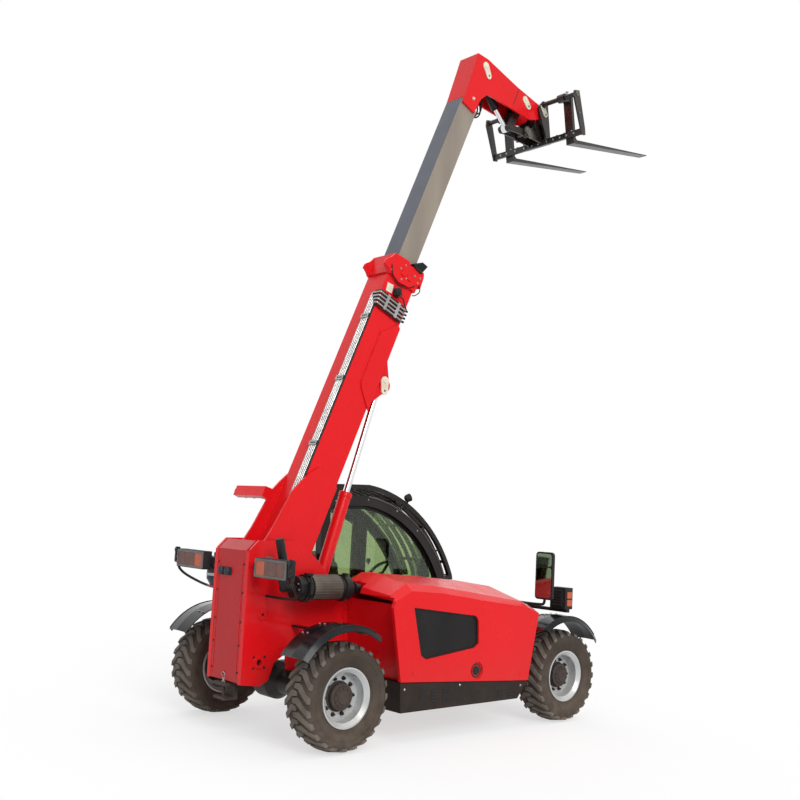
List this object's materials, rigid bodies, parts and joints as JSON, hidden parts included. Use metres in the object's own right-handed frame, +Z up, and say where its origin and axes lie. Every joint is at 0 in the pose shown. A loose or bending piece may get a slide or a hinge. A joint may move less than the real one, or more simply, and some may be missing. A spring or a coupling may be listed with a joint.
{
  "type": "telehandler",
  "caption": "Compact telehandler with side cab, hooded engine, four-wheel steering, and a raised telescopic boom carrying a tilting pallet fork carriage.",
  "frame": {"origin": "centre of the machine's footprint on the floor, with the boom raised and run out", "axes": "+X forward along the forks, +Y to the driver's left, +Z up"},
  "size_m": [4.9244, 2.02, 6.5437],
  "materials": {
    "red_paint": "gloss",
    "dark_red_paint": "satin",
    "black_paint": "satin",
    "black_plastic": "gloss",
    "mesh_black": "matte perforated sheet",
    "cast_grey": "rough painted casting",
    "rim_silver": "satin silver",
    "tyre_rubber": "matte",
    "boom_grey": "satin",
    "rod_chrome": "polished",
    "pipe_zinc": "zinc plated",
    "steel_dark": "black painted steel",
    "cab_black": "satin black",
    "cab_tint": "green tint",
    "seat_vinyl": "matte vinyl",
    "trim_grey": "textured",
    "lamp_lens": "smoked lens",
    "fork_black": "gloss black"
  },
  "bodies": {
    "chassis": {"chassis": "red_paint", "side_plates": "red_paint", "engine_deck": "red_paint", "tower_panel": "dark_red_paint", "counterweight": "steel_dark", "tow_hitch": "steel_dark", "axles": "steel_dark", "fenders": "black_plastic", "engine_block": "cast_grey", "sill_right": "black_paint", "step_tank": "black_paint", "exhaust": "black_paint", "lamps": "lamp_lens", "cab_frame": "cab_black", "cab_glass": "cab_tint", "roof_guard": "cab_black", "seat": "seat_vinyl", "steering_console": "trim_grey", "mirrors": "trim_grey", "nose_cowl": "red_paint"},
    "knuckle_fl": {"knuckle_fl": "steel_dark"},
    "knuckle_fr": {"knuckle_fr": "steel_dark"},
    "knuckle_rl": {"knuckle_rl": "steel_dark"},
    "knuckle_rr": {"knuckle_rr": "steel_dark"},
    "wheel_fl": {"rim_fl": "rim_silver", "tyre_fl": "tyre_rubber"},
    "wheel_fr": {"rim_fr": "rim_silver", "tyre_fr": "tyre_rubber"},
    "wheel_rl": {"rim_rl": "rim_silver", "tyre_rl": "tyre_rubber"},
    "wheel_rr": {"rim_rr": "rim_silver", "tyre_rr": "tyre_rubber"},
    "steer_rod_front": {"steer_rod_front": "rod_chrome"},
    "steer_rod_rear": {"steer_rod_rear": "rod_chrome"},
    "hood": {"hood": "red_paint", "hood_mesh": "mesh_black"},
    "cab_door": {"cab_door": "cab_black", "door_glass": "cab_tint"},
    "boom_outer": {"boom_outer": "red_paint", "boom_pipes": "pipe_zinc"},
    "boom_inner": {"boom_inner": "boom_grey", "boom_head": "red_paint"},
    "lift_barrel": {"lift_barrel": "red_paint"},
    "lift_rod": {"lift_rod": "rod_chrome"},
    "tilt_barrel": {"tilt_barrel": "steel_dark"},
    "tilt_rod": {"tilt_rod": "rod_chrome"},
    "tilt_lever": {"tilt_lever": "steel_dark"},
    "tilt_link": {"tilt_link": "steel_dark"},
    "carriage": {"carriage": "fork_black"},
    "fork_left": {"fork_left": "fork_black"},
    "fork_right": {"fork_right": "fork_black"}
  },
  "joints": [
    {"name": "steer_fl", "type": "hinge", "parent": "chassis", "child": "knuckle_fl", "pos_m": [0.681, 0.7, 0.4155], "axis": [0, 0, 1], "range_deg": [-28, 28]},
    {"name": "spin_fl", "type": "hinge", "parent": "knuckle_fl", "child": "wheel_fl", "pos_m": [0.681, 0.8575, 0.4155], "axis": [0, 1, 0], "continuous": true},
    {"name": "steer_fr", "type": "hinge", "parent": "chassis", "child": "knuckle_fr", "pos_m": [0.681, -0.7, 0.4155], "axis": [0, 0, 1], "range_deg": [-28.5, 28.5]},
    {"name": "spin_fr", "type": "hinge", "parent": "knuckle_fr", "child": "wheel_fr", "pos_m": [0.681, -0.8575, 0.4155], "axis": [0, 1, 0], "continuous": true},
    {"name": "steer_rl", "type": "hinge", "parent": "chassis", "child": "knuckle_rl", "pos_m": [-1.939, 0.7, 0.4155], "axis": [0, 0, 1], "range_deg": [-28, 28]},
    {"name": "spin_rl", "type": "hinge", "parent": "knuckle_rl", "child": "wheel_rl", "pos_m": [-1.939, 0.8575, 0.4155], "axis": [0, 1, 0], "continuous": true},
    {"name": "steer_rr", "type": "hinge", "parent": "chassis", "child": "knuckle_rr", "pos_m": [-1.939, -0.7, 0.4155], "axis": [0, 0, 1], "range_deg": [-28.5, 28.5]},
    {"name": "spin_rr", "type": "hinge", "parent": "knuckle_rr", "child": "wheel_rr", "pos_m": [-1.939, -0.8575, 0.4155], "axis": [0, 1, 0], "continuous": true},
    {"name": "steer_slide_front", "type": "slide", "parent": "chassis", "child": "steer_rod_front", "axis": [0, 1, 0], "range_m": [-0.081, 0.081]},
    {"name": "steer_slide_rear", "type": "slide", "parent": "chassis", "child": "steer_rod_rear", "axis": [0, 1, 0], "range_m": [-0.081, 0.081]},
    {"name": "hood_hinge", "type": "hinge", "parent": "chassis", "child": "hood", "pos_m": [-1.259, -0.262, 1.318], "axis": [-0.9965, 0, 0.0833], "range_deg": [0, 50]},
    {"name": "door_hinge", "type": "hinge", "parent": "chassis", "child": "cab_door", "pos_m": [-1.241, 0.979, 1.2], "axis": [0, 0, 1], "range_deg": [0, 85]},
    {"name": "boom_lift", "type": "hinge", "parent": "chassis", "child": "boom_outer", "pos_m": [-2.239, 0, 1.4], "axis": [0, -1, 0], "range_deg": [-65, 2.4]},
    {"name": "boom_extend", "type": "slide", "parent": "boom_outer", "child": "boom_inner", "axis": [0.3811, 0, 0.9245], "range_m": [-1.78, 0.1]},
    {"name": "lift_barrel_pivot", "type": "hinge", "parent": "chassis", "child": "lift_barrel", "pos_m": [-1.66, 0, 0.76], "axis": [0, -1, 0], "range_deg": [-66.5, 2.6]},
    {"name": "lift_rod_slide", "type": "slide", "parent": "lift_barrel", "child": "lift_rod", "axis": [0.2946, 0, 0.9556], "range_m": [-0.93, 0.036]},
    {"name": "carriage_tilt", "type": "hinge", "parent": "boom_inner", "child": "carriage", "pos_m": [0.99731, 0, 6.23668], "axis": [0, 1, 0], "range_deg": [-65, 40]},
    {"name": "tilt_lever_pivot", "type": "hinge", "parent": "boom_inner", "child": "tilt_lever", "pos_m": [0.76897, 0, 6.24427], "axis": [0, 1, 0], "range_deg": [-62, 39]},
    {"name": "tilt_link_pivot", "type": "hinge", "parent": "tilt_lever", "child": "tilt_link", "pos_m": [0.59971, 0, 5.9517], "axis": [0, 1, 0], "range_deg": [-36, 58]},
    {"name": "tilt_barrel_pivot", "type": "hinge", "parent": "boom_inner", "child": "tilt_barrel", "pos_m": [0.10517, 0, 6.43134], "axis": [0, 1, 0], "range_deg": [-10, 6.5]},
    {"name": "tilt_rod_slide", "type": "slide", "parent": "tilt_barrel", "child": "tilt_rod", "axis": [0.7178, 0, -0.6962], "range_m": [-0.19, 0.3]},
    {"name": "fork_slide_left", "type": "slide", "parent": "carriage", "child": "fork_left", "axis": [0, 1, 0], "range_m": [-0.2, 0.125]},
    {"name": "fork_slide_right", "type": "slide", "parent": "carriage", "child": "fork_right", "axis": [0, -1, 0], "range_m": [-0.2, 0.125]}
  ],
  "couplings": [
    {"joint": "steer_fr", "follows": "steer_fl", "ratio": 1},
    {"joint": "steer_rr", "follows": "steer_rl", "ratio": 1},
    {"joint": "steer_slide_front", "follows": "steer_fl", "m_per_rad": -0.1633},
    {"joint": "steer_slide_rear", "follows": "steer_rl", "m_per_rad": 0.1633},
    {"joint": "lift_barrel_pivot", "follows": "boom_lift", "ratio": 1.0178},
    {"joint": "lift_rod_slide", "follows": "boom_lift", "m_per_rad": 0.81685},
    {"joint": "tilt_lever_pivot", "follows": "carriage_tilt", "ratio": 0.9412},
    {"joint": "tilt_link_pivot", "follows": "carriage_tilt", "ratio": -0.8787},
    {"joint": "tilt_barrel_pivot", "follows": "carriage_tilt", "ratio": 0.147},
    {"joint": "tilt_rod_slide", "follows": "carriage_tilt", "m_per_rad": -0.2615}
  ]
}
